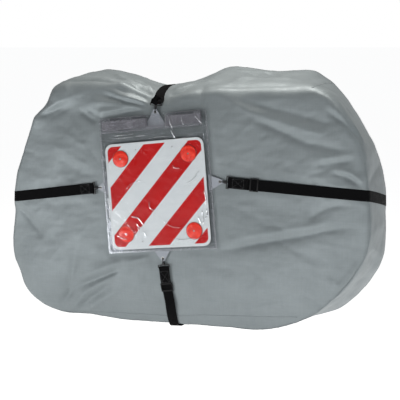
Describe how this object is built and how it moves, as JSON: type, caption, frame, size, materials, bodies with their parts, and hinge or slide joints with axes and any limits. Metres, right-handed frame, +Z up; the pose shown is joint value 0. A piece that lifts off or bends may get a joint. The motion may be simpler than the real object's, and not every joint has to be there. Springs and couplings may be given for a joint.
{
  "type": "bicycle cover with warning sign",
  "caption": "Fabric cover that goes over bicycles on a caravan's rear rack, with crossed webbing straps and a striped load warning sign in a clear pocket.",
  "frame": {"origin": "centre of the bottom opening, in the plane of the hem's lower edge", "axes": "+X to the right seen from behind the vehicle, -Y away from the vehicle towards the viewer of the sign, +Z up"},
  "size_m": [1.794, 0.6102, 1.223],
  "materials": {
    "cover_fabric": "silver-grey coated polyester, soft sheen",
    "webbing": "black polypropylene webbing",
    "elastic": "black knitted elastic",
    "binding": "grey binding tape",
    "clear_film": "clear flexible PVC",
    "tab_film": "milky reinforced PVC",
    "closure_tape": "grey hook and loop tape",
    "sign_aluminium": "rolled sheet, bare back",
    "sign_film": "white retroreflective film with red diagonal stripes",
    "reflector_lens": "red prismatic acrylic",
    "reflector_base": "red ABS",
    "screw_steel": "zinc plated",
    "hook_plastic": "black acetal",
    "spring_steel": "spring wire",
    "eyelet_metal": "nickel plated"
  },
  "bodies": {
    "cover": {"front_panel": "cover_fabric", "back_panel": "cover_fabric", "gusset_left": "cover_fabric", "gusset_top": "cover_fabric", "gusset_right": "cover_fabric", "underside_panel": "cover_fabric", "hem_band": "cover_fabric", "hem_elastic": "elastic", "front_seam_tape": "binding", "back_seam_tape": "binding", "strap_horizontal": "webbing", "strap_vertical": "webbing", "pocket_back_sheet": "clear_film", "pocket_front_sheet": "clear_film", "closure_tape_back": "closure_tape", "pocket_tabs": "tab_film", "tab_eyelets": "eyelet_metal", "eyelet_washers": "eyelet_metal", "hook_base_left": "hook_plastic", "hook_base_right": "hook_plastic", "hook_base_top": "hook_plastic", "hook_base_bottom": "hook_plastic"},
    "sign": {"sign_plate": "sign_aluminium", "sign_stripes": "sign_film", "reflector_bases": "reflector_base", "reflector_lenses": "reflector_lens", "reflector_screws": "screw_steel", "reflector_nuts": "screw_steel"},
    "mouth_lip": {"mouth_lip": "clear_film", "closure_tape_front": "closure_tape"},
    "slider_right": {"strap_slider_right": "hook_plastic"},
    "slider_bottom": {"strap_slider_bottom": "hook_plastic"},
    "hook_left": {"hook_body_left": "hook_plastic", "gate_spring_left": "spring_steel"},
    "gate_left": {"hook_gate_left": "hook_plastic"},
    "hook_right": {"hook_body_right": "hook_plastic", "gate_spring_right": "spring_steel"},
    "gate_right": {"hook_gate_right": "hook_plastic"},
    "hook_top": {"hook_body_top": "hook_plastic", "gate_spring_top": "spring_steel"},
    "gate_top": {"hook_gate_top": "hook_plastic"},
    "hook_bottom": {"hook_body_bottom": "hook_plastic", "gate_spring_bottom": "spring_steel"},
    "gate_bottom": {"hook_gate_bottom": "hook_plastic"}
  },
  "joints": [
    {"name": "sign_slide", "type": "slide", "parent": "cover", "child": "sign", "axis": [-0.12, 0.1026, 0.9875], "range_m": [0, 0.62]},
    {"name": "mouth_lip_fold", "type": "hinge", "parent": "cover", "child": "mouth_lip", "pos_m": [-0.0812, -0.28116, 0.94345], "axis": [0.9926, -0.0044, 0.1211], "range_deg": [0, 100]},
    {"name": "slider_right_slide", "type": "slide", "parent": "cover", "child": "slider_right", "axis": [0.9984, 0.0328, -0.0453], "range_m": [0, 0.06]},
    {"name": "slider_bottom_slide", "type": "slide", "parent": "cover", "child": "slider_bottom", "axis": [0.1546, 0.0997, -0.9829], "range_m": [0, 0.06]},
    {"name": "hook_left_swivel", "type": "hinge", "parent": "cover", "child": "hook_left", "pos_m": [-0.37159, -0.2833, 0.65478], "axis": [0.9909, -0.0029, 0.1349], "range_deg": [-40, 40]},
    {"name": "gate_left_hinge", "type": "hinge", "parent": "hook_left", "child": "gate_left", "pos_m": [-0.35613, -0.27738, 0.65627], "axis": [0.1338, -0.1026, -0.9857], "range_deg": [0, 20], "stiffness_Nm_per_rad": 0.001, "springref_deg": -17.19},
    {"name": "hook_right_swivel", "type": "hinge", "parent": "cover", "child": "hook_right", "pos_m": [0.28948, -0.28792, 0.71878], "axis": [-0.9987, 0.0214, 0.0453], "range_deg": [-40, 40]},
    {"name": "gate_right_hinge", "type": "hinge", "parent": "hook_right", "child": "gate_right", "pos_m": [0.2741, -0.28162, 0.71887], "axis": [0.0472, 0.1004, 0.9938], "range_deg": [0, 20], "stiffness_Nm_per_rad": 0.001, "springref_deg": -17.19},
    {"name": "hook_top_swivel", "type": "hinge", "parent": "cover", "child": "hook_top", "pos_m": [-0.07017, -0.24768, 1.05448], "axis": [-0.0542, -0.1003, -0.9935], "range_deg": [-40, 40]},
    {"name": "gate_top_hinge", "type": "hinge", "parent": "hook_top", "child": "gate_top", "pos_m": [-0.07091, -0.24326, 1.03847], "axis": [-0.9984, 0.0221, 0.0522], "range_deg": [0, 20], "stiffness_Nm_per_rad": 0.001, "springref_deg": -17.19},
    {"name": "hook_bottom_swivel", "type": "hinge", "parent": "cover", "child": "hook_bottom", "pos_m": [-0.00515, -0.32367, 0.31893], "axis": [-0.1546, 0.1027, 0.9826], "range_deg": [-40, 40]},
    {"name": "gate_bottom_hinge", "type": "hinge", "parent": "hook_bottom", "child": "gate_bottom", "pos_m": [-0.00745, -0.31611, 0.33355], "axis": [0.9878, -0.0008, 0.1555], "range_deg": [0, 20], "stiffness_Nm_per_rad": 0.001, "springref_deg": -17.19}
  ]
}
